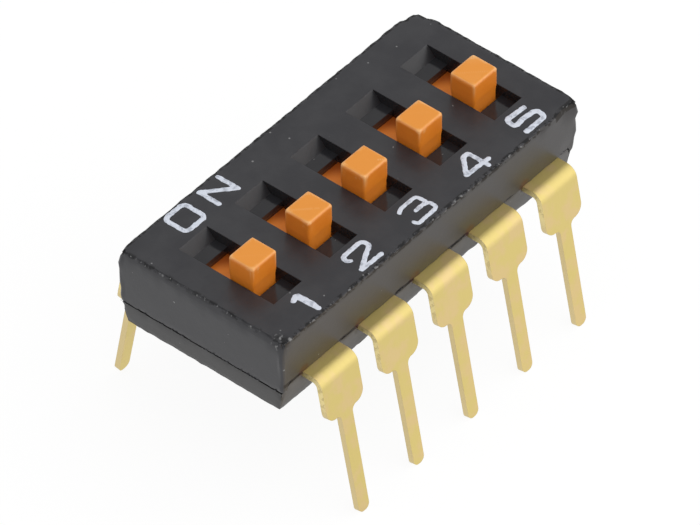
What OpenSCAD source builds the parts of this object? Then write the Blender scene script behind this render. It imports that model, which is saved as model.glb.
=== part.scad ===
// Five-pole slide DIP switch with raised knobs and two rows of formed terminals.
// X runs along the row of poles, pole 1 at -X. The number side is -Y, the ON side is +Y.
// Z = 0 is the underside of the housing; the terminals reach below it to the board.

/* [Housing] */
// Spacing from one pole to the next
pitch = 2.54; // [2.5:0.01:3]
// Width of the housing across the two rows of terminals
body_w = 6.3; // [6.2:0.05:7]
// Height of the housing from its underside to its top face
body_h = 2.83; // [2.8:0.01:3.4]
// Length of the housing past the half pitch of each outer pole
end_margin = 0.46; // [0.4:0.01:1]
// Radius of the housing's upright corners
corner_r = 0.12; // [0.05:0.01:0.2]
// Height of the parting line between base and cover at the two ends
parting_h = 0.85; // [0.7:0.01:0.9]
// Amount that each long side of the base draws in at the underside
side_draft = 0.22; // [0:0.01:0.4]
// Amount that each end of the base draws in at the underside
end_draft = 0.1; // [0:0.01:0.4]
// Depth and height of the groove that marks the parting line
groove = 0.05; // [0.02:0.01:0.1]

/* [Cover] */
// Height of the chambers above the terminal seats
chamber_h = 0.78; // [0.7:0.01:0.83]
// Thickness of the cover's long side walls
wall_t = 0.5; // [0.4:0.01:0.55]
// Thickness of the ribs between two chambers
rib_t = 0.44; // [0.3:0.01:0.46]
// Bevel along the cover's top edges
bevel = 0.03; // [0.01:0.01:0.2]
// Length of the rebate on each side of the index corner, beside pole 5 on the ON side
index_l = 0.8; // [0.5:0.05:1.2]
// Depth of the rebate round the index corner
index_depth = 0.14; // [0.05:0.01:0.2]

/* [Slots] */
// Length of each slot in the cover's top
slot_l = 3.66; // [3.5:0.01:4]
// Width of each slot in the cover's top
slot_w = 1.27; // [1.2:0.01:1.4]
// Depth of the shelves at a slot's two ends, which stop the knob
shelf_depth = 0.36; // [0.2:0.01:0.5]
// Length of the ramps that rise from the shelves to the top face
ramp_l = 0.31; // [0.1:0.01:0.5]

/* [Sliders] */
// Distance that each knob moves from OFF to ON
travel = 1.1; // [0.9:0.01:1.2]
// Length of a knob in the direction that it moves
knob_l = 0.92; // [0.8:0.01:1]
// Width of a knob
knob_w = 1.05; // [0.9:0.01:1.1]
// Height of a knob above the cover's top face
knob_h = 0.87; // [0.4:0.01:1.5]
// Radius of a knob's edges
knob_r = 0.06; // [0.03:0.01:0.15]
// Length of the slider's body under the cover
slider_l = 3.7; // [3.6:0.01:3.9]
// Thickness of the slider's roof, above the contact
roof_t = 0.3; // [0.25:0.01:0.35]
// Thickness of the slider's skirts at its ends
skirt_t = 0.22; // [0.15:0.01:0.3]

/* [Contacts] */
// Thickness of the bridging contact's strip
contact_t = 0.08; // [0.06:0.01:0.1]
// Width of the bridging contact
contact_w = 0.8; // [0.6:0.01:1]
// Distance between the feet of the bridging contact
feet_l = 1.9; // [1.8:0.01:2]
// Radius of each foot's underside
foot_r = 0.14; // [0.12:0.01:0.18]
// Diameter of the peg that locates the contact
peg_d = 0.3; // [0.2:0.01:0.4]

/* [Terminals] */
// Thickness of the terminals' strip
strip_t = 0.2; // [0.15:0.01:0.22]
// Width of a terminal at its bend and shoulders
lead_w = 1.64; // [1.62:0.01:1.8]
// Width of a terminal's contact pad inside the housing
pad_w = 1.1; // [0.9:0.01:1.2]
// Distance from the housing's face to the start of the bend
run_l = 0.33; // [0.1:0.01:0.5]
// Inner radius of the bend
bend_r = 0.2; // [0.1:0.01:0.4]
// Outward lean of the legs from upright
lean = 10.4; // [4:0.1:15]
// Depth of the shoulders below the housing's underside
shoulder_drop = 0.5; // [0.3:0.01:1]
// Depth of the tips below the housing's underside
tip_drop = 4.22; // [3:0.01:6]
// Radius of the shoulders' lower corners
shoulder_r = 0.36; // [0.2:0.01:0.37]
// Radius of the fillets where the leg leaves the shoulders
root_r = 0.2; // [0.05:0.01:0.21]
// Width of the leg at the shoulders
leg_w = 0.5; // [0.44:0.01:0.51]
// Width of the leg at its tip
tip_w = 0.46; // [0.42:0.01:0.6]
// Radius of the tip's corners
tip_r = 0.2; // [0.05:0.01:0.2]

/* [Terminal seats] */
// Height of the seats, and of the terminals' upper face, above the parting line
seat_rise = 0.25; // [0.22:0.01:0.3]
// Thickness of the cover's lips, which reach past the seats at the two ends
lip_t = 0.16; // [0.1:0.01:0.3]
// Length of the slope at each end of the seats
seat_slope = 0.2; // [0.05:0.01:0.3]
// Distance from the number side's pad to the centre line
near_pad_y = 0.2; // [0.1:0.01:0.25]
// Distance from the ON side's pad to the centre line
far_pad_y = 0.88; // [0.7:0.01:0.95]

/* [Clearances] */
// Gap between a stop and the knob that has reached it
stop_gap = 0.03; // [0.01:0.01:0.05]
// Gap between a knob and the edge of its slot on the side of pole 1
rim_gap = 0.03; // [0.01:0.01:0.05]
// Running gap round a slider in its chamber
run_gap = 0.05; // [0.03:0.01:0.08]
// Gap between a contact's feet and the pads
foot_gap = 0.02; // [0.01:0.01:0.04]
// Gap between the cover and the terminal seats
seat_gap = 0.03; // [0.02:0.01:0.06]
// Gap between the contact and the peg and walls of the slider
contact_gap = 0.03; // [0.02:0.01:0.05]

/* [Hidden] */
$fn = 64;
poles = 5;
over = 1;
housing_color = "#2f2f31";
knob_color = "#e8963c";
gold_color = "#d9bf6e";

body_l = poles * pitch + 2 * end_margin;
half_w = body_w / 2;
seat_z = parting_h + seat_rise;
ceiling_z = seat_z + chamber_h;
chamber_w = pitch - rib_t;
chamber_l = body_w - 2 * wall_t;
stop_y = travel / 2 + knob_l / 2 + stop_gap;
shelf_z = body_h - shelf_depth;

slider_w = chamber_w - 2 * run_gap;
slider_foot_z = seat_z + run_gap;
slider_top_z = ceiling_z - run_gap;
slider_roof_z = slider_top_z - roof_t;
contact_room_w = contact_w + 2 * contact_gap;
contact_room_l = slider_l - 2 * skirt_t;

foot_z = seat_z + foot_gap;
neck_y = half_w - wall_t / 2;
bend_z = seat_z - strip_t - bend_r;
bend_y = half_w + run_l;
lean_rise = (bend_r + strip_t) * sin(lean);
shoulder_l = (bend_z + lean_rise + shoulder_drop) / cos(lean);
leg_l = (bend_z + lean_rise + tip_drop) / cos(lean);

function pole_x(i) = (i - (poles + 1) / 2) * pitch;

// Square with rounded corners, centred on the origin
module rounded_rect(w, l, r) {
  square([w - 2 * r, l], center = true);
  square([w, l - 2 * r], center = true);
  for (x = [-1, 1], y = [-1, 1])
    translate([x * (w / 2 - r), y * (l / 2 - r)]) circle(r);
}

// Turns a profile drawn across the housing, in Y and Z, into a bar of width w along X
module across(w) {
  rotate([90, 0, 90]) linear_extrude(w, center = true) children();
}

// Turns a profile drawn along the housing, in X and Z, into a bar of length l along Y
module along(l) {
  rotate([90, 0, 0]) linear_extrude(l, center = true) children();
}

// Repeats a shape at every pole
module each_pole() {
  for (i = [1 : poles]) translate([pole_x(i), 0, 0]) children();
}

// Plan of the housing, with a shallow rebate round its index corner
module housing_outline() {
  difference() {
    rounded_rect(body_l, body_w, corner_r);
    translate([body_l / 2, half_w]) index_rebate();
  }
}

// Cutter for the rebate, for a corner at the origin, with sloping ends
module index_rebate() {
  slope_end = 1.5 * index_depth - index_l;
  turn = -index_depth - corner_r;
  polygon([
    [-index_l, over], [-index_l, 0], [slope_end, -index_depth], [turn, -index_depth],
    [-index_depth, turn], [-index_depth, slope_end], [0, -index_l], [over, -index_l],
    [over, over]
  ]);
}

// ---- Base: drafted plate with the raised seats that carry the terminals ----

// The seats seen along Y, one length from end to end
module seat_profile(gap = 0) {
  foot_x = body_l / 2 - lip_t + gap;
  top_x = foot_x - seat_slope;
  polygon([
    [-foot_x, parting_h - over], [-foot_x, parting_h], [-top_x, seat_z + gap],
    [top_x, seat_z + gap], [foot_x, parting_h], [foot_x, parting_h - over]
  ]);
}

module base_draft() {
  low_w = half_w - side_draft;
  low_l = body_l / 2 - end_draft;
  intersection() {
    across(body_l + over)
      polygon([[-low_w, 0], [-half_w, seat_z], [half_w, seat_z], [low_w, 0]]);
    along(body_w + over)
      polygon([
        [-low_l, 0], [-body_l / 2, parting_h], [-body_l / 2, seat_z],
        [body_l / 2, seat_z], [body_l / 2, parting_h], [low_l, 0]
      ]);
  }
}

module base_plate() {
  linear_extrude(parting_h - groove) square([body_l, body_w], center = true);
  linear_extrude(parting_h) square([body_l - 2 * groove, body_w - 4 * groove], center = true);
}

module base() {
  color(housing_color)
    difference() {
      intersection() {
        base_draft();
        linear_extrude(seat_z) housing_outline();
        union() {
          base_plate();
          along(body_w + over) seat_profile();
        }
      }
      each_pole() {
        terminal_bed(near_pad_y, -1);
        terminal_bed(far_pad_y, 1);
      }
    }
}

// Room in a seat for the flat part of a terminal
module terminal_bed(pad_y, side) {
  translate([0, 0, seat_z - strip_t]) linear_extrude(strip_t + over)
    flat_outline(pad_y, side, half_w + over);
}

// ---- Cover: shell with five chambers, stepped slots, and a notch over the seats ----

module bevel_profile(half) {
  polygon([
    [-half, 0], [-half, body_h - bevel], [bevel - half, body_h],
    [half - bevel, body_h], [half, body_h - bevel], [half, 0]
  ]);
}

module cover_block() {
  intersection() {
    translate([0, 0, parting_h]) linear_extrude(body_h - parting_h) housing_outline();
    across(body_l + over) bevel_profile(half_w);
    along(body_w + over) bevel_profile(body_l / 2);
  }
}

module chamber() {
  translate([-chamber_w / 2, -chamber_l / 2, parting_h - over])
    cube([chamber_w, chamber_l, ceiling_z - parting_h + over]);
}

// Opening for the knob, with a shelf and a ramp at each end
module slot() {
  shelf_y = slot_l / 2 - ramp_l;
  translate([slot_w / 2 - knob_w / 2 - rim_gap, 0, 0]) across(slot_w)
    polygon([
      [-slot_l / 2, body_h + over], [-slot_l / 2, body_h], [-shelf_y, shelf_z],
      [-stop_y, shelf_z], [-stop_y, parting_h], [stop_y, parting_h], [stop_y, shelf_z],
      [shelf_y, shelf_z], [slot_l / 2, body_h], [slot_l / 2, body_h + over]
    ]);
}

module cover() {
  color(housing_color)
    difference() {
      cover_block();
      each_pole() {
        chamber();
        slot();
      }
      along(body_w + over) seat_profile(seat_gap);
    }
}

// ---- Slider: knob on a hollow body that carries the contact ----

module knob() {
  knob_z = slider_roof_z;
  knob_top = body_h + knob_h;
  tall = 2 * (knob_top - knob_z);
  intersection() {
    translate([0, 0, knob_z]) linear_extrude(tall) rounded_rect(knob_w, knob_l, knob_r);
    translate([0, 0, knob_z]) across(knob_w + over) rounded_rect(knob_l, tall, knob_r);
    translate([0, 0, knob_z]) along(knob_l + over) rounded_rect(knob_w, tall, knob_r);
  }
}

module slider_body() {
  difference() {
    translate([-slider_w / 2, -slider_l / 2, slider_foot_z])
      cube([slider_w, slider_l, slider_top_z - slider_foot_z]);
    translate([-contact_room_w / 2, -contact_room_l / 2, slider_foot_z - over])
      cube([contact_room_w, contact_room_l, slider_roof_z - slider_foot_z + over]);
  }
  translate([0, 0, slider_roof_z - 2 * contact_t]) cylinder(h = 2 * contact_t, d = peg_d);
}

module slider() {
  color(knob_color)
    translate([0, -travel / 2, 0]) {
      knob();
      slider_body();
    }
}

// ---- Contact: leaf with a flat middle, sloping arms and rounded feet ----

// One half of the leaf's profile; the middle lies against the slider's roof
module arm_profile() {
  mid_y = feet_l / 4;
  mid_z = slider_roof_z - contact_t / 2;
  ring_z = foot_z + foot_r;
  ring_y = feet_l / 2;
  mean_r = foot_r - contact_t / 2;
  reach = norm([ring_y - mid_y, ring_z - mid_z]);
  slope = atan2(ring_z - mid_z, ring_y - mid_y) - asin(mean_r / reach);
  arm_l = sqrt(reach * reach - mean_r * mean_r);
  square_bar([0, mid_z], 0, mid_y);
  translate([mid_y, mid_z]) circle(d = contact_t);
  square_bar([mid_y, mid_z], slope, arm_l);
  translate([ring_y, ring_z]) intersection() {
    difference() {
      circle(foot_r);
      circle(foot_r - contact_t);
    }
    polygon([
      [0, 0], over * [cos(slope - 90), sin(slope - 90)],
      over * [0, -1], over * [1, -1], over * [cos(30), sin(30)]
    ]);
  }
}

// Straight stretch of the leaf, from a point at an angle
module square_bar(from, angle, length) {
  translate(from) rotate(angle) translate([0, -contact_t / 2]) square([length, contact_t]);
}

module contact() {
  color(gold_color)
    translate([0, -travel / 2, 0]) difference() {
      across(contact_w) {
        arm_profile();
        mirror([1, 0]) arm_profile();
      }
      cylinder(h = body_h, d = peg_d + 2 * contact_gap);
    }
}

// ---- Terminals: pad, flat run, bend, shoulders and tapered leg from one strip ----

// Plan of a terminal's flat part, from its pad out to the distance end_y
module flat_outline(pad_y, side, end_y) {
  scale([1, side]) {
    translate([-pad_w / 2, pad_y]) square([pad_w, neck_y - pad_y]);
    translate([-lead_w / 2, neck_y]) square([lead_w, end_y - neck_y]);
  }
}

// Strip seen along X, from its neck in the wall, round the bend and down to the shoulders
module strip_profile() {
  far = 3 * (bend_r + strip_t);
  stub_l = shoulder_l - shoulder_r;
  translate([neck_y - bend_y, bend_r]) square([bend_y - neck_y, strip_t]);
  rotate(lean) translate([bend_r, -stub_l]) square([strip_t, stub_l]);
  intersection() {
    difference() {
      circle(bend_r + strip_t);
      circle(bend_r);
    }
    polygon([[0, 0], [0, far], [far, far], far * [cos(lean), sin(lean)]]);
  }
}

// Outline of the leg below the bend, hanging from its top edge
module leg_outline() {
  corner_x = lead_w / 2 - shoulder_r;
  corner_y = shoulder_l - shoulder_r;
  translate([-lead_w / 2, -corner_y]) square([lead_w, corner_y]);
  translate([-corner_x, -shoulder_l]) square([2 * corner_x, shoulder_r]);
  for (x = [-1, 1]) {
    translate([x * corner_x, -corner_y]) circle(shoulder_r);
    scale([x, 1]) translate([leg_w / 2, -shoulder_l]) root_fillet();
    translate([x * (tip_w / 2 - tip_r), tip_r - leg_l]) circle(tip_r);
  }
  polygon([
    [-leg_w / 2, -corner_y], [leg_w / 2, -corner_y], [leg_w / 2, -shoulder_l],
    [tip_w / 2, tip_r - leg_l], [-tip_w / 2, tip_r - leg_l], [-leg_w / 2, -shoulder_l]
  ]);
  translate([tip_r - tip_w / 2, -leg_l]) square([tip_w - 2 * tip_r, tip_r]);
}

module root_fillet() {
  overlap = root_r / 4;
  translate([-overlap, -root_r]) difference() {
    square([root_r + overlap, root_r + overlap]);
    translate([root_r + overlap, 0]) circle(root_r);
  }
}

module terminal(pad_y) {
  translate([0, 0, seat_z - strip_t]) linear_extrude(strip_t) flat_outline(pad_y, 1, bend_y);
  translate([0, bend_y, bend_z]) {
    across(lead_w) strip_profile();
    rotate([lean, 0, 0]) translate([0, bend_r + strip_t, 0])
      rotate([90, 0, 0]) linear_extrude(strip_t) leg_outline();
  }
}

module front_terminal() {
  color(gold_color) mirror([0, 1, 0]) terminal(near_pad_y);
}

module rear_terminal() {
  color(gold_color) terminal(far_pad_y);
}

module at_pole(i) {
  translate([pole_x(i), 0, 0]) children();
}

base();
cover();
at_pole(1) slider();  // slider_1
at_pole(2) slider();  // slider_2
at_pole(3) slider();  // slider_3
at_pole(4) slider();  // slider_4
at_pole(5) slider();  // slider_5
at_pole(1) contact();  // contact_1
at_pole(2) contact();  // contact_2
at_pole(3) contact();  // contact_3
at_pole(4) contact();  // contact_4
at_pole(5) contact();  // contact_5
at_pole(1) front_terminal();  // front_terminal_1
at_pole(2) front_terminal();  // front_terminal_2
at_pole(3) front_terminal();  // front_terminal_3
at_pole(4) front_terminal();  // front_terminal_4
at_pole(5) front_terminal();  // front_terminal_5
at_pole(1) rear_terminal();  // rear_terminal_1
at_pole(2) rear_terminal();  // rear_terminal_2
at_pole(3) rear_terminal();  // rear_terminal_3
at_pole(4) rear_terminal();  // rear_terminal_4
at_pole(5) rear_terminal();  // rear_terminal_5
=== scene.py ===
import math

import bmesh
import bpy
from mathutils import Matrix, Vector, kdtree, noise


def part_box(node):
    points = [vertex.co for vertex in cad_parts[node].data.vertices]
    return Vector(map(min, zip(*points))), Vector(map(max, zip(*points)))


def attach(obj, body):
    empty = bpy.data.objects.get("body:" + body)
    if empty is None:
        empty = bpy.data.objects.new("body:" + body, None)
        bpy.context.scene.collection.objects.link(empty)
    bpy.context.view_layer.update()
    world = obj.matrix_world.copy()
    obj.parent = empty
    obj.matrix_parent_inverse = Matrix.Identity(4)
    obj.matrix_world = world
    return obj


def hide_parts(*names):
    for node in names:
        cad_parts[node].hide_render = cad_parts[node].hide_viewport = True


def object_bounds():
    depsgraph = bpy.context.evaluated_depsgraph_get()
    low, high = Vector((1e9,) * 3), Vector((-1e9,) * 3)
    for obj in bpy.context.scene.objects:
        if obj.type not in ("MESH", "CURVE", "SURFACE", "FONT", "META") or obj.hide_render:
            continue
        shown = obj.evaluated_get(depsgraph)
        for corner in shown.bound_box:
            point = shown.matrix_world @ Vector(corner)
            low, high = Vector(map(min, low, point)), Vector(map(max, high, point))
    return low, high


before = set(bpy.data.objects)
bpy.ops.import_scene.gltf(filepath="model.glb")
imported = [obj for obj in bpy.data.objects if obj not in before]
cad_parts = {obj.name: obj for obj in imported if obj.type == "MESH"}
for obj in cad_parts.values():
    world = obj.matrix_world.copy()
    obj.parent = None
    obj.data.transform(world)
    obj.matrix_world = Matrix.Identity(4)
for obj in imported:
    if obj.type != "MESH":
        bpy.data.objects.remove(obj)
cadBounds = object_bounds()
print("frame loaded with", len(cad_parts), "nodes")

mm = 0.001
scene = bpy.context.scene
poles = range(1, 6)

# places that the frame gives, in millimetres
coverLow, coverHigh = (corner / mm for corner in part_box("cover"))
coverTop = coverHigh.z
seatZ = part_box("front_terminal_1")[1].z / mm  # top of the base's seat, where the terminals lie
poleX = {i: sum(corner.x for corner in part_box(f"slider_{i}")) / 2 / mm for i in poles}
pitch = poleX[2] - poleX[1]
sameSpot = 0.01  # what lies nearer than this counts as the same place


class Wire:
    # an output socket of any node tree; arithmetic on it adds Math nodes
    def __init__(self, tree, socket=None):
        self.tree = tree
        self.socket = socket

    def node(self, kind, settings=None, inputs=None, output=0):
        # settings are set first; sockets go by name or by number
        made = self.tree.nodes.new(kind)
        for name, value in (settings or {}).items():
            setattr(made, name, value)
        for name, value in (inputs or {}).items():
            if isinstance(value, Wire):
                self.tree.links.new(value.socket, made.inputs[name])
            else:
                made.inputs[name].default_value = value
        return Wire(self.tree, made.outputs[output]) if len(made.outputs) else None

    def math(self, operation, *values):
        return self.node("ShaderNodeMath", {"operation": operation}, dict(enumerate(values)))

    def __add__(self, other):
        return self.math("ADD", self, other)

    def __radd__(self, other):
        return self.math("ADD", other, self)

    def __sub__(self, other):
        return self.math("SUBTRACT", self, other)

    def __rsub__(self, other):
        return self.math("SUBTRACT", other, self)

    def __mul__(self, other):
        return self.math("MULTIPLY", self, other)

    def __rmul__(self, other):
        return self.math("MULTIPLY", other, self)

    def fade(self, low, high):
        # 0 at low, 1 at high, smooth between; low may be the larger one
        return self.node(
            "ShaderNodeMapRange",
            {"interpolation_type": "SMOOTHSTEP"},
            {"Value": self, "From Min": low, "From Max": high},
        )

    def fadeMm(self, low, high):
        # the same for a length, with low and high in millimetres
        return self.fade(low * mm, high * mm)

    def spread(self, low, high):
        # takes a 0 to 1 value to low to high
        return self.node("ShaderNodeMapRange", {}, {"Value": self, "To Min": low, "To Max": high})

    def size(self):
        return self.math("ABSOLUTE", self)

    def either(self, other):
        return self.math("MAXIMUM", self, other)


def rgb(red, green, blue):
    # a colour as it looks on a screen, 0 to 255, turned to the linear values that shaders take
    def straight(value):
        share = value / 255
        return share / 12.92 if share <= 0.04045 else ((share + 0.055) / 1.055) ** 2.4

    return (straight(red), straight(green), straight(blue), 1)


class Finish:
    # a material in the making; every size and place that its methods take is in millimetres
    def __init__(self, name):
        self.material = bpy.data.materials.new(name)
        self.material.use_nodes = True
        self.tree = self.material.node_tree
        self.tree.nodes.clear()
        self.wire = Wire(self.tree)
        self.place = self.wire.node("ShaderNodeTexCoord", output="Object")

    def stretched(self, scale):
        return self.wire.node("ShaderNodeMapping", {}, {"Vector": self.place, "Scale": scale})

    def axis(self, index):
        return self.wire.node("ShaderNodeSeparateXYZ", {}, {"Vector": self.place}, index)

    def facing(self, index):
        # how far the surface faces along one axis, from -1 to 1
        normal = self.wire.node("ShaderNodeTexCoord", output="Normal")
        return self.wire.node("ShaderNodeSeparateXYZ", {}, {"Vector": normal}, index)

    def noise(self, grain, detail, roughness, place=None):
        inputs = {"Vector": place or self.place, "Scale": 1 / (grain * mm)}
        inputs.update({"Detail": detail, "Roughness": roughness})
        return self.wire.node("ShaderNodeTexNoise", {}, inputs)

    def mix(self, share, first, second):
        inputs = {0: share, 6: first, 7: second}
        return self.wire.node("ShaderNodeMix", {"data_type": "RGBA"}, inputs, 2)

    def bump(self, height, depth, normal=None):
        # depth is that of a height of 1
        inputs = {"Height": height, "Distance": depth * mm, "Strength": 1}
        if normal:
            inputs["Normal"] = normal
        return self.wire.node("ShaderNodeBump", {}, inputs)

    def roundedEdges(self, radius):
        return self.wire.node("ShaderNodeBevel", {"samples": 6}, {"Radius": radius * mm})

    def spot(self, x, y, z, radius):
        # 1 about a place, fading to 0 at the radius
        inputs = {0: self.place, 1: (x * mm, y * mm, z * mm)}
        away = self.wire.node("ShaderNodeVectorMath", {"operation": "DISTANCE"}, inputs, "Value")
        return away.fadeMm(radius, radius * 0.4)

    def band(self, index, low, high, soft):
        # 1 between two places along one axis, fading to 0 past them
        along = self.axis(index)
        return along.fadeMm(low - soft, low) * along.fadeMm(high + soft, high)

    def within(self, bands):
        # 1 inside a box, whose three bands each give a low, a high and a softness
        x, y, z = (self.band(index, *band) for index, band in enumerate(bands))
        return x * y * z

    def fromPole(self):
        # how far along x from the middle of the nearest pole
        along = self.axis(0) - (poleX[1] - pitch / 2) * mm
        return self.wire.math("FLOORED_MODULO", along, pitch * mm) - pitch / 2 * mm

    def measured(self, name):
        # a number stored on the mesh
        settings = {"attribute_type": "GEOMETRY", "attribute_name": name}
        return self.wire.node("ShaderNodeAttribute", settings, output="Fac")

    def shader(self, values):
        surface = self.wire.node("ShaderNodeBsdfPrincipled", {}, values)
        self.wire.node("ShaderNodeOutputMaterial", {}, {"Surface": surface})
        return self.material


coverLook = {
    "baseColour": rgb(46, 46, 50),
    "dustColour": rgb(58, 58, 61),
    "slotShadeColour": rgb(22, 22, 24),
    "goldBounceColour": rgb(72, 62, 50),
    "rootColour": rgb(66, 26, 18),
    "wornColour": rgb(150, 150, 150),
    "pitColour": rgb(10, 10, 10),
    "roughness": 0.32,
    "slotRoughness": 0.09,
    "sideRoughness": 0.36,
    "gloss": 0.5,
    # sizes and places from here on are in millimetres
    "grain": 0.07,
    "grainDepth": 0.0022,
    "pitSize": 0.24,
    "pitHeight": (2.5, 2.7),  # pits are faint below the first and full above the second
    "sideDepth": (2.9, 3),  # how far out along y the long sides lie
    "goldBounceGrowth": (1, -6),  # where along x the painted warm reflection from the gold leads grows
    "endStart": (-6.6, -6.7),  # where along x the end beside pole 1 starts
    "endLine": (2.71, 2.78),  # how high on that end its own broken line runs
    "gapShade": (-0.04, 0.06, 0.04),  # painted shade in the gap over the seat: low, high and softness from the seat's top
    "seamGap": (0.8, 0.9),  # how far from a pole's middle it starts
    "seamEnd": (2.4, 1.6),  # where along x it runs out
    # the dark reddish patch beside each terminal's root: x from the pole, y, height over the seat, radius
    "roots": (-0.78, -3.17, 0.06, 0.3),
    "scuff": (-6.72, -2.95, 2.83, 0.42),  # the worn end of the top's edge beside pole 1: place and radius
    # the broken stretch of the top's edge beside pole 5, with painted shade in its broken part,
    # and the insides of the slots, painted darker as shade: low, high and softness along each axis
    "notch": ((5.85, 6.75, 0.1), (-3.3, -2.95, 0.03), (2.6, 2.79, 0.03)),
    "slots": ((-6.4, 6.4, 0.05), (-1.9, 1.9, 0.04), (-1, 2.78, 0.03)),
    # bare chips: place and radius
    "chips": (
        (-6.43, -3.1, 2.8, 0.075),
        (-6.34, -2.67, 2.83, 0.03),
        (-4.96, -1.87, 2.83, 0.03),
        (-3.02, -3.04, 2.83, 0.035),
        (-2.48, -3.13, 2.81, 0.04),
        (5.14, 2.47, 2.83, 0.035),
        (4.05, 2.67, 2.83, 0.035),
        (0.05, 2.37, 2.83, 0.04),
        (-0.12, 2.97, 2.83, 0.04),
        (-1.4, 2.57, 2.83, 0.045),
        (-6.6, 2.05, 2.83, 0.035),
        (-6.74, -3.12, 1.8, 0.05),
    ),
}
baseLook = {**coverLook, "baseColour": rgb(46, 45, 46), "dustColour": rgb(58, 57, 56), "gloss": 0.4}


def housingPits(finish, look, edge, scuff, side):
    # black pits along the worn edges and the line on the end, with painted shade in the broken stretch beside
    # pole 5 and in the gap over the seat
    atEnd = finish.axis(0).fadeMm(*look["endStart"])
    pits = finish.noise(look["pitSize"], 3, 0.7, finish.stretched((1, 1, 1.7))).fade(0.46, 0.55)
    pits = pits * edge.fade(0.15, 0.55).either(scuff) * (1 - atEnd * 0.6)
    pits = pits * finish.axis(2).fadeMm(*look["pitHeight"]).spread(0.35, 1)
    line = finish.noise(0.45, 3, 0.7).fade(0.5, 0.56) * atEnd * finish.axis(2).fadeMm(*look["endLine"])
    # painted shade: dark patches in the broken stretch of the top's edge beside pole 5
    notch = finish.noise(0.2, 2, 0.6).fade(0.25, 0.45) * finish.within(look["notch"])
    # painted shade: dark pits where the cover's lower edge leaves a gap over the seat
    low, high, soft = look["gapShade"]
    gapShade = finish.band(2, seatZ + low, seatZ + high, soft) * side
    gapShade = gapShade * finish.fromPole().size().fadeMm(*look["seamGap"]) * finish.axis(0).fadeMm(*look["seamEnd"])
    gapShade = gapShade * finish.noise(0.2, 2, 0.65).fade(0.3, 0.45)
    return pits.either(line * 0.8).either(notch).either(gapShade)


def housingPlastic(name, look):
    finish = Finish(name)
    edge = finish.measured("edge")
    scuff = finish.spot(*look["scuff"])
    side = finish.facing(1).size().fade(0.6, 0.9) * finish.axis(1).size().fadeMm(*look["sideDepth"])
    pits = housingPits(finish, look, edge, scuff, side)
    cloud = finish.noise(1.1, 3, 0.6).fade(0.35, 0.7)
    fleck = (finish.noise(0.11, 1, 0.5) + scuff * 0.05).fade(0.64, 0.72)
    fleck = fleck * (edge.fade(0.45, 0.9) + scuff)
    inside = finish.within(look["slots"])
    goldBounce = finish.axis(0).fadeMm(*look["goldBounceGrowth"]).spread(0.22, 0.5)
    colour = finish.mix(cloud * 0.6, look["baseColour"], look["dustColour"])
    colour = finish.mix(pits * 0.85, colour, look["pitColour"])
    colour = finish.mix(fleck * 0.6, colour, look["wornColour"])
    # painted shade: the insides of the slots are darkened
    colour = finish.mix(inside * 0.4, colour, look["slotShadeColour"])
    # painted reflection: warm light from the gold leads, painted on the long sides
    colour = finish.mix(side * goldBounce, colour, look["goldBounceColour"])
    shift, y, rise, radius = look["roots"]
    patches = finish.noise(0.1, 2, 0.6).fade(0.25, 0.5)
    for i in poles:
        root = finish.spot(poleX[i] + shift, y, seatZ + rise, radius)
        colour = finish.mix(root * patches * 0.85, colour, look["rootColour"])
    bare = finish.noise(0.16, 1, 0.4).fade(0.8, 0.84)
    for chip in look["chips"]:
        bare = bare.either(finish.spot(*chip))
    colour = finish.mix(bare * 0.7, colour, look["wornColour"])
    rough = look["roughness"] + cloud * 0.05 + edge * 0.12 + pits * 0.4
    rough = rough + side * (look["sideRoughness"] - look["roughness"])
    up = finish.facing(2)
    ramp = up.fade(0.45, 0.55) * up.fade(0.9, 0.8)  # the slots' ramps stay as matt as the top
    rough = rough + inside * (1 - ramp) * (look["slotRoughness"] - rough)
    height = finish.noise(look["grain"], 3, 0.65) + finish.noise(0.3, 2, 0.5) * 1.5
    return finish.shader(
        {
            "Base Color": colour,
            "Roughness": rough,
            "Normal": finish.bump(height, look["grainDepth"]),
            "IOR": 1.5,
            "Specular IOR Level": look["gloss"],
        }
    )


sliderLook = {
    "baseColour": rgb(236, 135, 36),
    "deepColour": rgb(226, 116, 26),
    "litTopColour": rgb(243, 158, 58),
    "shadyColour": rgb(150, 58, 18),
    "rimWearAndHighlightColour": rgb(255, 205, 140),
    "roughness": 0.36,
    # heights and places from here on are in millimetres
    "litTop": (2.9, 3.5),  # painted light: the knob's upward faces are paler, as if lit from above
    "rim": (3.1, 3.6),  # its upper edges are paler: painted highlight, partly wear
    "roof": (0.5, 2.3, 0.15),  # the hollow body under it: low, high and softness
    "shade": (0.7, 1.4),  # it darkens as y, plus x from the pole's middle, goes from the first to the second
    "grainDepth": 0.002,
}


def sliderPlastic(name, look):
    finish = Finish(name)
    cloud = finish.noise(0.5, 3, 0.55).fade(0.35, 0.7)
    grain = finish.noise(0.05, 3, 0.6)
    litTop = finish.facing(2).fade(0.6, 0.95) * finish.axis(2).fadeMm(*look["litTop"])
    shady = finish.band(2, *look["roof"]) * (finish.fromPole() + finish.axis(1)).fadeMm(*look["shade"])
    rim = finish.wire.node("ShaderNodeNewGeometry", output="Pointiness").fade(0.505, 0.56)
    rim = rim * finish.axis(2).fadeMm(*look["rim"])
    colour = finish.mix(cloud * 0.3, look["baseColour"], look["deepColour"])
    # painted light on the knob's top
    colour = finish.mix(litTop * 0.8, colour, look["litTopColour"])
    colour = finish.mix(shady * 0.7, colour, look["shadyColour"])
    # painted highlight, partly wear, along the knob's upper edges
    colour = finish.mix(rim * (0.4 + cloud * 0.3), colour, look["rimWearAndHighlightColour"])
    rough = look["roughness"] + grain * 0.1
    normal = finish.bump(grain, look["grainDepth"])
    return finish.shader({"Base Color": colour, "Roughness": rough, "Normal": normal, "IOR": 1.5})


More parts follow.
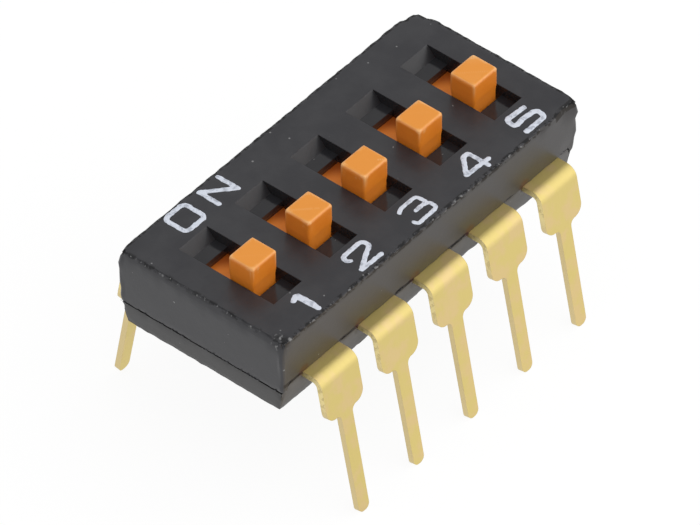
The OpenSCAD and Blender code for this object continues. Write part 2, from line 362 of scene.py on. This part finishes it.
goldLook = {
    "baseColour": rgb(220, 201, 130),
    "rosyColour": rgb(224, 197, 150),
    "shearedLitColour": rgb(236, 219, 160),
    "burrColour": rgb(120, 92, 45),
    "legEdgeColour": rgb(210, 190, 142),
    "roughness": 0.5,
    # sizes and places from here on are in millimetres
    "edgeRadius": 0.025,
    "reliefDepth": 0.0015,
    "shoulder": (-0.4, 0.3),  # the height where a leg's dull edge gives way to the bend's edge, painted lighter
}


def goldPlate(name, look):
    finish = Finish(name)
    sheared = finish.facing(0).size().fade(0.6, 0.9)
    upper = finish.axis(2).fadeMm(*look["shoulder"])
    cloud = finish.noise(0.6, 3, 0.55).fade(0.42, 0.66)
    rolled = finish.noise(0.05, 2, 0.5, finish.stretched((1, 0.12, 0.12)))
    torn = finish.noise(0.05, 3, 0.7, finish.stretched((1, 0.3, 0.3)))
    burr = finish.noise(0.16, 2, 0.6).fade(0.46, 0.62) * sheared * upper
    colour = finish.mix(cloud * 0.6, look["baseColour"], look["rosyColour"])
    # painted light: the x-facing sheared sides are made lighter to offset their shade
    colour = finish.mix(sheared * (0.6 + torn * 0.4), colour, look["shearedLitColour"])
    colour = finish.mix(sheared * (1 - upper) * 0.8, colour, look["legEdgeColour"])
    colour = finish.mix(burr * 0.3, colour, look["burrColour"])
    rough = look["roughness"] + rolled * 0.08 - sheared * 0.1
    relief = rolled + sheared * torn * 3
    normal = finish.bump(relief, look["reliefDepth"], finish.roundedEdges(look["edgeRadius"]))
    return finish.shader({"Base Color": colour, "Metallic": 1, "Roughness": rough, "Normal": normal})


inkLook = {
    "colour": rgb(222, 228, 240),
    "thinColour": rgb(140, 145, 158),
    "roughness": 0.5,
    "grainDepth": 0.006,  # mm
}


def printInk(name, look):
    finish = Finish(name)
    thin = finish.noise(0.2, 3, 0.62).fade(0.48, 0.66)
    colour = finish.mix(thin * 0.6, look["colour"], look["thinColour"])
    normal = finish.bump(finish.noise(0.05, 2, 0.6), look["grainDepth"])
    return finish.shader({"Base Color": colour, "Roughness": look["roughness"], "Normal": normal})


black = housingPlastic("coverBlack", coverLook)
darkGrey = housingPlastic("baseBlack", baseLook)
orange = sliderPlastic("sliderOrange", sliderLook)
gold = goldPlate("goldPlated", goldLook)
ink = printInk("whiteInk", inkLook)
finishOf = {"cover": black, "base": darkGrey, "slider": orange, "contact": gold, "front": gold, "rear": gold}

for name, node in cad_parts.items():
    node.data.materials.clear()
    node.data.materials.append(finishOf[name.split("_")[0]])
print("finishes made")


def newPiece(name, data):
    piece = bpy.data.objects.new(name, data)
    scene.collection.objects.link(piece)
    return piece


def meshFrom(name, mesh):
    data = bpy.data.meshes.new(name)
    mesh.to_mesh(data)
    mesh.free()
    return data


def evaluated(piece):
    return bpy.data.meshes.new_from_object(piece.evaluated_get(bpy.context.evaluated_depsgraph_get()))


def makePlain(piece):
    # the piece's modifiers become part of its mesh
    piece.data = evaluated(piece)
    piece.modifiers.clear()


def addSkin(piece, voxel):
    # one closed skin round all that overlaps
    skin = piece.modifiers.new("skin", "REMESH")
    skin.mode = "VOXEL"
    skin.voxel_size = voxel
    skin.use_smooth_shade = True


def treeOf(points):
    # finds the nearest of many points
    tree = kdtree.KDTree(len(points))
    for index, point in enumerate(points):
        tree.insert(point, index)
    tree.balance()
    return tree


def mergedCopy(node):
    # the node's solid in millimetres, one face for each flat
    mesh = bmesh.new()
    mesh.from_mesh(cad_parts[node].data)
    bmesh.ops.remove_doubles(mesh, verts=mesh.verts, dist=2e-7)
    bmesh.ops.dissolve_limit(mesh, angle_limit=math.radians(0.6), verts=mesh.verts, edges=mesh.edges)
    bmesh.ops.scale(mesh, vec=Vector((1, 1, 1)) / mm, verts=mesh.verts)
    return mesh


mouldSizes = {
    "step": 0.12,  # mm, like every size here: how finely the flats are cut
    "stepUp": 0.24,
    "rims": (0.04, 0.1, 0.2),  # more cuts, this far in from the outside
    "outerGap": 0.25,  # an edge this near to the outside is an outer one
    "markStep": 0.06,
    "edgeReach": 0.14,  # how far from an edge its wear reaches
    "calmShare": 0.3,  # how worn the slots' edges and the low ones look, next to the others
    "calmHeight": 0.1,  # low is under this height over the seat
    "outerWear": 0.03,
    "slotWear": 0.004,
    "lump": 0.26,
    "fineLumps": 2.7,  # times finer and half as deep
    "endDepth": 0.05,  # the top of the end beside pole 1 leans in
    "endStrip": 0.24,
    "endLean": 0.07,
    "cornerSide": 0.15,  # this far in from two sides the skin has a corner's wider lumps
    "cornerLump": 0.45,
    "cornerWander": 0.06,
    "cornerReach": 0.45,  # and this near to a top corner it is rubbed down
    "cornerWear": 0.12,
    "sliderRoof": 1.83,  # where the CAD has the sliders' roof
    "roofGap": 0.05,  # from there to the chambers' ceiling
    "ceilingLift": 0.35,  # how much higher both are made here
    "slotEnd": 1.83,
    "ramp": (0.31, 0.36),  # its length and its drop
    "rampSlack": 0.012,
    "uprightGap": 0.01,  # from the slot's end to the upright face that takes the ramp's place
    "openGap": 0.03,  # from the seat up to the cover over it
    "tightReach": 0.9,  # closed this near to a pole's middle
    "tightFrom": 2.2,  # and everywhere past this x
    "looseShare": 0.2,  # how far closed elsewhere, how unevenly, and in how many waves a millimetre
    "looseWander": 0.6,
    "looseWaves": 5,
    # angles in radians from which an edge counts as sharp, and stays sharp outside and in a slot
    "sharp": 0.5,
    "outerCrease": 0.9,
    "slotCrease": 0.4,
    # places where the skin is drawn in or swollen: middle, radius and greatest move
    "pulls": (
        ((6.81, -3.15, 0.55), 1.3, (-0.16, 0.04, 0)),
        ((6.81, -3.15, 2.35), 0.32, (0.05, -0.03, 0)),
        ((6.81, -3.15, 2.83), 0.45, (-0.01, -0.02, 0)),
        ((6.3, -3.15, 2.83), 0.62, (0, 0.1, -0.03)),
        ((5.1, -3.15, 2.83), 0.3, (0, 0.05, 0)),
        ((-6.81, 3.15, 2.1), 0.7, (-0.02, 0.07, 0)),
        ((-6.72, -2.95, 2.83), 0.35, (0.02, 0.03, -0.05)),
    ),
}


def markEdges(mesh, low, high, sizes):
    # points along the convex edges, as a tree, and whether each lies on the outside
    marks = []
    outside = []
    for edge in mesh.edges:
        if edge.is_manifold and edge.calc_face_angle_signed() > sizes["sharp"]:
            start, end = (vertex.co.copy() for vertex in edge.verts)
            middle = (start + end) / 2
            gap = min(middle.x - low.x, high.x - middle.x, middle.y - low.y, high.y - middle.y)
            steps = max(1, round((end - start).length / sizes["markStep"]))
            marks += [start.lerp(end, k / steps) for k in range(steps + 1)]
            outside += [gap < sizes["outerGap"]] * (steps + 1)
    return treeOf(marks), outside


def cutFlats(mesh, low, high, sizes):
    # small cells, finer along the outer edges
    for axis in range(3):
        span = high[axis] - low[axis]
        count = round(span / (sizes["stepUp"] if axis == 2 else sizes["step"]))
        places = [low[axis] + span * k / count for k in range(1, count)]
        places += [high[axis] - rim for rim in sizes["rims"]] + [low[axis] + rim for rim in sizes["rims"]]
        across = Vector([float(k == axis) for k in range(3)])
        for place in places:
            whole = mesh.verts[:] + mesh.edges[:] + mesh.faces[:]
            bmesh.ops.bisect_plane(mesh, geom=whole, dist=1e-4, plane_co=across * place, plane_no=across)


def shadeEdges(mesh, tree, outside, sizes):
    for face in mesh.faces:
        face.smooth = True
    for edge in mesh.edges:
        turn = edge.calc_face_angle() if edge.is_manifold else 0
        outer = outside[tree.find((edge.verts[0].co + edge.verts[1].co) / 2)[1]]
        edge.smooth = turn < (sizes["outerCrease"] if outer else sizes["slotCrease"])


def wornMove(place, normal, wear, low, high, sizes):
    # how far a point of the skin moves from its nominal place; wear is how deep its edge is worn there
    lumps = place / sizes["lump"]
    rough = 0.5 + noise.noise(lumps) + 0.5 * noise.noise(lumps * sizes["fineLumps"])
    depth = wear * rough
    half = (high - low) / 2
    if abs(place.x) > half.x - sizes["cornerSide"] and abs(place.y) > half.y - sizes["cornerSide"]:
        depth += noise.noise(place / sizes["cornerLump"]) * sizes["cornerWander"]
    corner = Vector((math.copysign(half.x, place.x), math.copysign(half.y, place.y), coverTop))
    depth += max(0, 1 - (place - corner).length / sizes["cornerReach"]) ** 2 * sizes["cornerWear"]
    move = -depth * normal
    if place.x < low.x + sizes["endDepth"]:
        strip = sizes["endStrip"] * (0.8 + 0.5 * rough)
        move.x += max(0, 1 - (coverTop - place.z) / strip) * sizes["endLean"]
    for middle, radius, pull in sizes["pulls"]:
        near = max(0, 1 - (place - Vector(middle)).length_squared / radius**2)
        move += Vector(pull) * near**2
    return move


def closed(x, sizes):
    # 1 where the cover sits tight, over a terminal and near pole 5, less and uneven between two terminals
    aside = min(abs(x - poleX[i]) for i in poles)
    if aside < sizes["tightReach"] or x > sizes["tightFrom"]:
        return 1
    wave = noise.noise(Vector((x * sizes["looseWaves"], 3, 7)))  # 3 and 7 only pick a line through the noise
    return sizes["looseShare"] + sizes["looseWander"] * wave


def fitCover(place, move, sizes):
    # upright OFF ends of the slots, room for the sliders' roofs, and the gap over the seat closed
    length, drop = sizes["ramp"]
    along = place.y + sizes["slotEnd"]
    onRamp = abs(coverTop - along / length * drop - place.z) < sizes["rampSlack"]
    if onRamp and 0 < along < length + sameSpot:
        move.y = sizes["uprightGap"] - along
    if abs(place.z - sizes["sliderRoof"] - sizes["roofGap"]) < sameSpot:
        move.z += sizes["ceilingLift"]
    if abs(place.z - seatZ - sizes["openGap"]) < sameSpot:
        move.z -= sizes["openGap"] * closed(place.x, sizes)


def moulded(node, name, sizes):
    # the node again with worn, slightly lumpy outer edges; its slots stay crisp
    low, high = (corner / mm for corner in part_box(node))
    mesh = mergedCopy(node)
    tree, outside = markEdges(mesh, low, high, sizes)
    cutFlats(mesh, low, high, sizes)
    shadeEdges(mesh, tree, outside, sizes)
    mesh.normal_update()
    edgeLayer = mesh.verts.layers.float.new("edge")
    places = []
    for vertex in mesh.verts:
        mark, index, distance = tree.find(vertex.co)
        outer = outside[index]
        nearness = max(0, 1 - distance / sizes["edgeReach"])
        calm = not outer or mark.z < seatZ + sizes["calmHeight"]
        vertex[edgeLayer] = nearness * (sizes["calmShare"] if calm else 1)
        wear = nearness**2 * (sizes["outerWear"] if outer else sizes["slotWear"])
        move = wornMove(vertex.co, vertex.normal, wear, low, high, sizes)
        if node == "cover":
            fitCover(vertex.co, move, sizes)
        places.append(vertex.co + move)
    for vertex, place in zip(mesh.verts, places):
        vertex.co = place * mm
    piece = newPiece(name, meshFrom(name, mesh))
    piece.data.materials.append(finishOf[node])
    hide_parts(node)
    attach(piece, "housing")
    print(name, "has", len(piece.data.polygons), "faces")
    return piece


cover = moulded("cover", "mouldedCover", mouldSizes)
moulded("base", "mouldedBase", mouldSizes)
print("housing moulded")

knobSizes = {
    "voxel": 0.045,  # mm, like every size here
    "smoothing": 3,  # passes
    "swell": 0.045,  # share
    "rise": 0.022,
    "middle": -0.55,  # where along y a knob stands at rest
    "foot": 0.2,  # how far over the cover it is full
}


def softSlider(i, sizes):
    # the slider with the fuller roundings that its small mould leaves, and a higher roof
    mesh = mergedCopy(f"slider_{i}")
    for vertex in mesh.verts:
        if abs(vertex.co.z - mouldSizes["sliderRoof"]) < sameSpot:
            vertex.co.z += mouldSizes["ceilingLift"]
    piece = newPiece(f"softSlider_{i}", meshFrom(f"softSlider_{i}", mesh))
    addSkin(piece, sizes["voxel"])
    soften = piece.modifiers.new("soften", "SMOOTH")
    soften.iterations = sizes["smoothing"]
    makePlain(piece)
    middle = Vector((poleX[i], sizes["middle"], 0))
    for vertex in piece.data.vertices:
        share = min(1, max(0, vertex.co.z - coverTop) / sizes["foot"])
        aside = (vertex.co - middle) * sizes["swell"] * share
        vertex.co += Vector((aside.x, aside.y, sizes["rise"] * share))
    piece.data.transform(Matrix.Scale(mm, 4))
    piece.data.materials.clear()
    piece.data.materials.append(orange)
    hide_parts(f"slider_{i}")
    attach(piece, f"switch_{i}")


for i in poles:
    softSlider(i, knobSizes)
print("sliders softened")

flashSizes = {
    "spacing": 0.11,  # mm, like every size here
    "length": 0.045,
    "thickness": 0.013,
    "keptShare": 0.32,
    "stray": 0.006,
    "seed": 4,
    "pathStep": 0.12,
    "cornerRoom": 0.56,  # left free at each end of the top's edge
    "inset": 0.03,  # that edge's rounding
    "sunk": 0.012,
    "growth": (0.4, 1.4),  # the smallest and largest crumb, as shares
    "lumpiness": 1.6,  # share of the thickness
}
partingSizes = {
    **flashSizes,
    "spacing": 0.13,
    "thickness": 0.02,
    "keptShare": 0.55,
    "seed": 9,
    "inset": 0.01,
    "fromPole": 0.86,  # where each stretch between two terminals starts
    "stretch": 0.82,
    "lastStretch": 0.4,
    "endRoom": 0.05,  # left free at each end of the line under the cover's end
    "endSunk": 0.02,  # how far under the cover that line is
}


def flashTree(material, sizes):
    # crumbs of flash at random places along a line of edges
    tree = bpy.data.node_groups.new("flashCrumbs", "GeometryNodeTree")
    asked = ("Spacing", "Length", "Thickness", "Kept Share", "Stray", "Seed")
    tree.interface.new_socket("Edges", in_out="INPUT", socket_type="NodeSocketGeometry")
    for label in asked:
        kind = "NodeSocketInt" if label == "Seed" else "NodeSocketFloat"
        tree.interface.new_socket(label, in_out="INPUT", socket_type=kind)
    tree.interface.new_socket("Crumbs", in_out="OUTPUT", socket_type="NodeSocketGeometry")
    wire = Wire(tree)
    given = {label: wire.node("NodeGroupInput", output=label) for label in ("Edges", *asked)}

    def vectorMath(operation, inputs):
        return wire.node("ShaderNodeVectorMath", {"operation": operation}, inputs)

    def randomValue(kind, inputs, output):
        # sockets 0 and 1 take a vector's range, 2 and 3 a number's, 6 a chance, 8 the seed
        return wire.node("FunctionNodeRandomValue", {"data_type": kind}, inputs, output)

    lines = wire.node("GeometryNodeMeshToCurve", {}, {"Mesh": given["Edges"]})
    length = {"Curve": lines, "Length": given["Spacing"]}
    lines = wire.node("GeometryNodeResampleCurve", {"mode": "LENGTH"}, length)
    points = wire.node("GeometryNodeCurveToPoints", {"mode": "EVALUATED"}, {"Curve": lines})
    along = Wire(tree, points.socket.node.outputs["Rotation"])
    aside = randomValue("FLOAT_VECTOR", {0: (-1, -1, -1), 1: (1, 1, 1), 8: given["Seed"]}, 0)
    aside = vectorMath("SCALE", {0: aside, "Scale": given["Stray"]})
    points = wire.node("GeometryNodeSetPosition", {}, {"Geometry": points, "Offset": aside})
    kept = randomValue("BOOLEAN", {6: given["Kept Share"], 8: given["Seed"] + 1}, 3)
    smallest, largest = sizes["growth"]
    grow = randomValue("FLOAT", {2: smallest, 3: largest, 8: given["Seed"] + 2}, 1)
    thick = given["Thickness"] * grow
    size = wire.node("ShaderNodeCombineXYZ", {}, {"X": thick, "Y": thick, "Z": given["Length"] * grow})
    crumb = wire.node("GeometryNodeMeshUVSphere", {}, {"Segments": 8, "Rings": 5, "Radius": 1})
    placing = {"Points": points, "Selection": kept, "Instance": crumb, "Rotation": along, "Scale": size}
    placed = wire.node("GeometryNodeInstanceOnPoints", {}, placing)
    made = wire.node("GeometryNodeRealizeInstances", {}, {"Geometry": placed})
    lumps = wire.node("ShaderNodeTexNoise", {}, {"Scale": 30000}, "Color")  # a thirtieth of a millimetre each
    lumps = vectorMath("SUBTRACT", {0: lumps, 1: (0.5, 0.5, 0.5)})
    lumps = vectorMath("SCALE", {0: lumps, "Scale": given["Thickness"] * sizes["lumpiness"]})
    made = wire.node("GeometryNodeSetPosition", {}, {"Geometry": made, "Offset": lumps})
    made = wire.node("GeometryNodeSetShadeSmooth", {}, {"Geometry": made})
    made = wire.node("GeometryNodeSetMaterial", {}, {"Geometry": made, "Material": material})
    wire.node("NodeGroupOutput", {}, {"Crumbs": made})
    return tree


def flashAlong(name, lines, tree, sizes):
    # lines are lists of points in millimetres
    points = []
    pairs = []
    for line in lines:
        pairs += [(len(points) + k, len(points) + k + 1) for k in range(len(line) - 1)]
        points += [point * mm for point in line]
    data = bpy.data.meshes.new(name)
    data.from_pydata(points, pairs, [])
    piece = newPiece(name, data)
    scatter = piece.modifiers.new("crumbs", "NODES")
    scatter.node_group = tree
    values = {
        "Spacing": sizes["spacing"] * mm,
        "Length": sizes["length"] * mm,
        "Thickness": sizes["thickness"] * mm,
        "Kept Share": sizes["keptShare"],
        "Stray": sizes["stray"] * mm,
        "Seed": sizes["seed"],
    }
    for item in tree.interface.items_tree:
        if item.name in values:
            scatter[item.identifier] = values[item.name]
    piece.update_tag()
    makePlain(piece)
    print(name, "has", len(piece.data.polygons), "faces")
    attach(piece, "housing")


def topLine(sizes):
    # the top's edge on the number side, on the worn skin and a little under it
    skin = treeOf([vertex.co / mm for vertex in cover.data.vertices])
    start = Vector((coverLow.x + sizes["cornerRoom"], coverLow.y + sizes["inset"], coverTop))
    end = Vector((-start.x, start.y, start.z))
    steps = round((end - start).length / sizes["pathStep"])
    line = []
    for k in range(steps + 1):
        point = skin.find(start.lerp(end, k / steps))[0]
        x, y = (math.copysign(sizes["sunk"], side) for side in (point.x, point.y))
        line.append(point - Vector((x, y, sizes["sunk"])))
    return line


def partingLines(sizes):
    # over the seat between the terminals, and under the cover's end beside pole 1
    lines = []
    for i in poles:
        start = Vector((poleX[i] + sizes["fromPole"], coverLow.y + sizes["inset"], seatZ + sizes["inset"]))
        stretch = sizes["stretch"] if i + 1 in poles else sizes["lastStretch"]
        lines.append([start, start + Vector((stretch, 0, 0))])
    start = Vector((coverLow.x, coverLow.y + sizes["endRoom"], coverLow.z - sizes["endSunk"]))
    lines.append([start, start - Vector((0, 2 * start.y, 0))])
    return lines


crumbs = flashTree(black, flashSizes)
flashAlong("flashTop", [topLine(flashSizes)], crumbs, flashSizes)
flashAlong("flashParting", partingLines(partingSizes), crumbs, partingSizes)
print("flash scattered")

printSizes = {
    "strokeWidth": 0.18,  # mm, like every size here
    "inkHeight": 0.012,
    "inkFoot": 0.02,  # how much of a stroke's round underside is kept
    "voxel": 0.018,
    "edgeWander": 0.02,
    "wanderWaves": 9,  # a millimetre
    "wanderSeed": 3,
    "numberShift": 0.12,
    "numberLine": -2.5,
    "wordLine": 2.545,
    "wordShift": 0.06,
    "letterGap": 1.53,
    # how bold each glyph came out
    "weights": {"O": 0.94, "N": 0.96, "1": 1.05, "2": 0.88, "3": 0.8, "4": 0.9, "5": 1.02},
}

# Each glyph is a few strokes of points about its own centre, with how round their corners are.
glyphs = {
    "O": [([(0, 0.43), (0.44, 0.43), (0.44, -0.43), (-0.44, -0.43), (-0.44, 0.43), (0, 0.43)], 0.2)],
    "N": [
        ([(-0.44, -0.38), (-0.43, 0.38)], 0),
        ([(-0.43, 0.38), (0.43, -0.38)], 0),
        ([(0.43, -0.38), (0.42, 0.38)], 0),
    ],
    "1": [([(-0.2, 0.33), (0, 0.41), (0.04, -0.41)], 0.03), ([(0.05, 0.35), (0.08, -0.2)], 0)],
    "2": [
        (
            [(-0.38, 0.12), (-0.48, 0.22), (-0.42, 0.4), (0.45, 0.42), (0.5, 0.12), (0.2, 0), (-0.46, -0.36)],
            0.14,
        ),
        ([(-0.46, -0.36), (0.43, -0.38)], 0),
    ],
    "3": [
        ([(-0.46, 0.31), (-0.3, 0.4), (0.4, 0.4), (0.44, 0.02), (-0.06, 0.01)], 0.12),
        ([(0.28, 0), (0.47, -0.06), (0.45, -0.38), (-0.44, -0.4), (-0.48, -0.26)], 0.12),
    ],
    "4": [([(0.27, -0.4), (0.26, 0.38), (0.06, 0.4), (-0.49, -0.18), (0.49, -0.22)], 0.03)],
    "5": [
        (
            [(0.3, 0.36), (-0.46, 0.42), (-0.5, 0.02), (-0.1, 0.08), (0.46, 0.02)]
            + [(0.42, -0.36), (-0.44, -0.36)],
            0.15,
        )
    ],
}


def roundedPath(points, radius):
    # points of the path, with an arc in place of each inner corner
    path = [Vector((*points[0], 0))]
    for before, corner, after in zip(points, points[1:], points[2:]):
        here = Vector((*corner, 0))
        back = Vector((*before, 0)) - here
        ahead = Vector((*after, 0)) - here
        reach = min(radius, back.length * 0.48, ahead.length * 0.48)
        start = here + back.normalized() * reach
        end = here + ahead.normalized() * reach
        steps = 8 if reach > 0 else 1
        for k in range(steps + 1):
            t = k / steps
            path.append(start * (1 - t) ** 2 + here * 2 * t * (1 - t) + end * t**2)
    path.append(Vector((*points[-1], 0)))
    return path


def strokeMesh(name, letter, radius):
    # the glyph's strokes in millimetres: round tubes, with balls at their ends and their sharp corners
    curve = bpy.data.curves.new(name, "CURVE")
    curve.dimensions = "3D"
    curve.bevel_depth = radius
    curve.bevel_resolution = 6
    curve.use_fill_caps = True
    ends = []
    for points, corner in glyphs[letter]:
        path = roundedPath(points, corner)
        spline = curve.splines.new("POLY")
        spline.points.add(len(path) - 1)
        for point, place in zip(spline.points, path):
            point.co = (*place, 1)
        ends += path if corner == 0 else [path[0], path[-1]]
    tube = newPiece(name + "Tube", curve)
    mesh = bmesh.new()
    mesh.from_mesh(evaluated(tube))
    bpy.data.objects.remove(tube)
    for end in ends:
        ball = bmesh.ops.create_icosphere(mesh, subdivisions=3, radius=radius)
        bmesh.ops.translate(mesh, verts=ball["verts"], vec=end)
    return mesh


def printedGlyph(name, letter, centre, sizes):
    # the strokes joined to one skin and pressed flat on the cover
    radius = sizes["strokeWidth"] / 2 * sizes["weights"][letter]
    piece = newPiece(name, meshFrom(name, strokeMesh(name, letter, radius)))
    addSkin(piece, sizes["voxel"])
    makePlain(piece)
    for vertex in piece.data.vertices:
        place = vertex.co.copy()
        wave = place * sizes["wanderWaves"] + centre * 5  # the centre gives each glyph its own waves
        wander = noise.noise_vector(wave) * sizes["edgeWander"]
        height = max(place.z, -sizes["inkFoot"]) / radius * sizes["inkHeight"]
        vertex.co = (centre + Vector((place.x + wander.x, place.y + wander.y, height))) * mm
    piece.data.materials.append(ink)
    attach(piece, "housing")


noise.seed_set(printSizes["wanderSeed"])  # without it noise_vector starts from the clock
wordX = (poleX[1] + poleX[2]) / 2 + printSizes["wordShift"]
for i in poles:
    place = Vector((poleX[i] + printSizes["numberShift"], printSizes["numberLine"], coverTop))
    printedGlyph(f"print_{i}", str(i), place, printSizes)
for letter, side in (("O", -1), ("N", 1)):
    place = Vector((wordX + side * printSizes["letterGap"] / 2, printSizes["wordLine"], coverTop))
    printedGlyph(f"print_{letter}", letter, place, printSizes)
print("print made")

studio = {
    "floorSize": 0.6,  # m, like every size here
    "floorColour": (0.8, 0.8, 0.8, 1),
    "floorGlow": 0.92,
    "shadowColour": (0.1, 0.1, 0.1, 1),
    "skyLow": 0.98,
    "skyHigh": 0.58,
    "skyDiffuse": 0.56,
    "keyPlace": (0.08, -0.23, 0.27),
    "keySize": 0.72,
    "keyPower": 1.16,
}


def rayIs(wire, kind):
    return wire.node("ShaderNodeLightPath", output=f"Is {kind} Ray")


def makeFloor(look):
    # white wherever it is seen, apart from the object's soft shadow
    half = look["floorSize"] / 2
    lowest = cadBounds[0].z
    corners = [(x * half, y * half, lowest) for x, y in ((-1, -1), (1, -1), (1, 1), (-1, 1))]
    data = bpy.data.meshes.new("floor")
    data.from_pydata(corners, [], [(0, 1, 2, 3)])
    floor = newPiece("floor", data)
    finish = Finish("floorWhite")
    wire = finish.wire
    camera = rayIs(wire, "Camera")
    mirrored = rayIs(wire, "Glossy").either(rayIs(wire, "Transmission"))
    matt = wire.node("ShaderNodeBsdfDiffuse", {}, {"Color": look["floorColour"]})
    shade = wire.node("ShaderNodeBsdfDiffuse", {}, {"Color": look["shadowColour"]})
    glow = wire.node("ShaderNodeEmission", {}, {"Strength": look["floorGlow"]})
    white = wire.node("ShaderNodeEmission", {}, {"Strength": 1})
    seen = wire.node("ShaderNodeAddShader", {}, {0: glow, 1: shade})
    seen = wire.node("ShaderNodeMixShader", {}, {0: camera, 1: matt, 2: seen})
    surface = wire.node("ShaderNodeMixShader", {}, {0: mirrored, 1: seen, 2: white})
    wire.node("ShaderNodeOutputMaterial", {}, {"Surface": surface})
    data.materials.append(finish.material)


def makeWorld(look):
    # white to the camera, darker overhead in reflections, dim as a light
    world = bpy.data.worlds.new("studioSky")
    world.use_nodes = True
    scene.world = world
    world.node_tree.nodes.clear()
    wire = Wire(world.node_tree)
    camera = rayIs(wire, "Camera").either(rayIs(wire, "Transmission"))
    glossy = rayIs(wire, "Glossy")
    direction = wire.node("ShaderNodeTexCoord", output="Generated")
    height = wire.node("ShaderNodeSeparateXYZ", {}, {"Vector": direction}, "Z")
    sky = height.fade(0.2, 0.65).spread(look["skyLow"], look["skyHigh"])
    strength = camera + glossy * sky + (1 - camera.either(glossy)) * look["skyDiffuse"]
    made = wire.node("ShaderNodeBackground", {}, {"Color": (1, 1, 1, 1), "Strength": strength})
    wire.node("ShaderNodeOutputWorld", {}, {"Surface": made})


def makeKeyLamp(look):
    data = bpy.data.lights.new("keyLamp", "AREA")
    data.shape = "DISK"
    data.size = look["keySize"]
    data.energy = look["keyPower"]
    lamp = newPiece("keyLamp", data)
    lamp.location = look["keyPlace"]
    lamp.rotation_euler = Vector(look["keyPlace"]).to_track_quat("Z", "Y").to_euler()


makeFloor(studio)
makeWorld(studio)
makeKeyLamp(studio)
print("studio made")

view = {
    "azimuth": -49.851,  # degrees round from the number side
    "elevation": 44.074,
    "roll": -0.368,
    "distance": 0.36166,  # m
    "aim": (0.002013, 0.001708, -0.003348),
    "lens": 618.87,  # mm
}


def makeCamera(look):
    turn, rise, roll = (math.radians(look[name]) for name in ("azimuth", "elevation", "roll"))
    back = Vector((math.sin(turn) * math.cos(rise), -math.cos(turn) * math.cos(rise), math.sin(rise)))
    side = Vector((math.cos(turn), math.sin(turn), 0))
    up = back.cross(side)
    right = side * math.cos(roll) + up * math.sin(roll)
    above = up * math.cos(roll) - side * math.sin(roll)
    data = bpy.data.cameras.new("camera")
    data.lens = look["lens"]
    data.sensor_width = 36
    data.sensor_fit = "HORIZONTAL"
    data.clip_start = 0.01
    data.clip_end = 5
    camera = newPiece("camera", data)
    turned = Matrix((right, above, back)).transposed().to_4x4()
    camera.matrix_world = Matrix.Translation(Vector(look["aim"]) + back * look["distance"]) @ turned
    scene.camera = camera


makeCamera(view)
print("camera placed")
scene.view_settings.view_transform = "Standard"
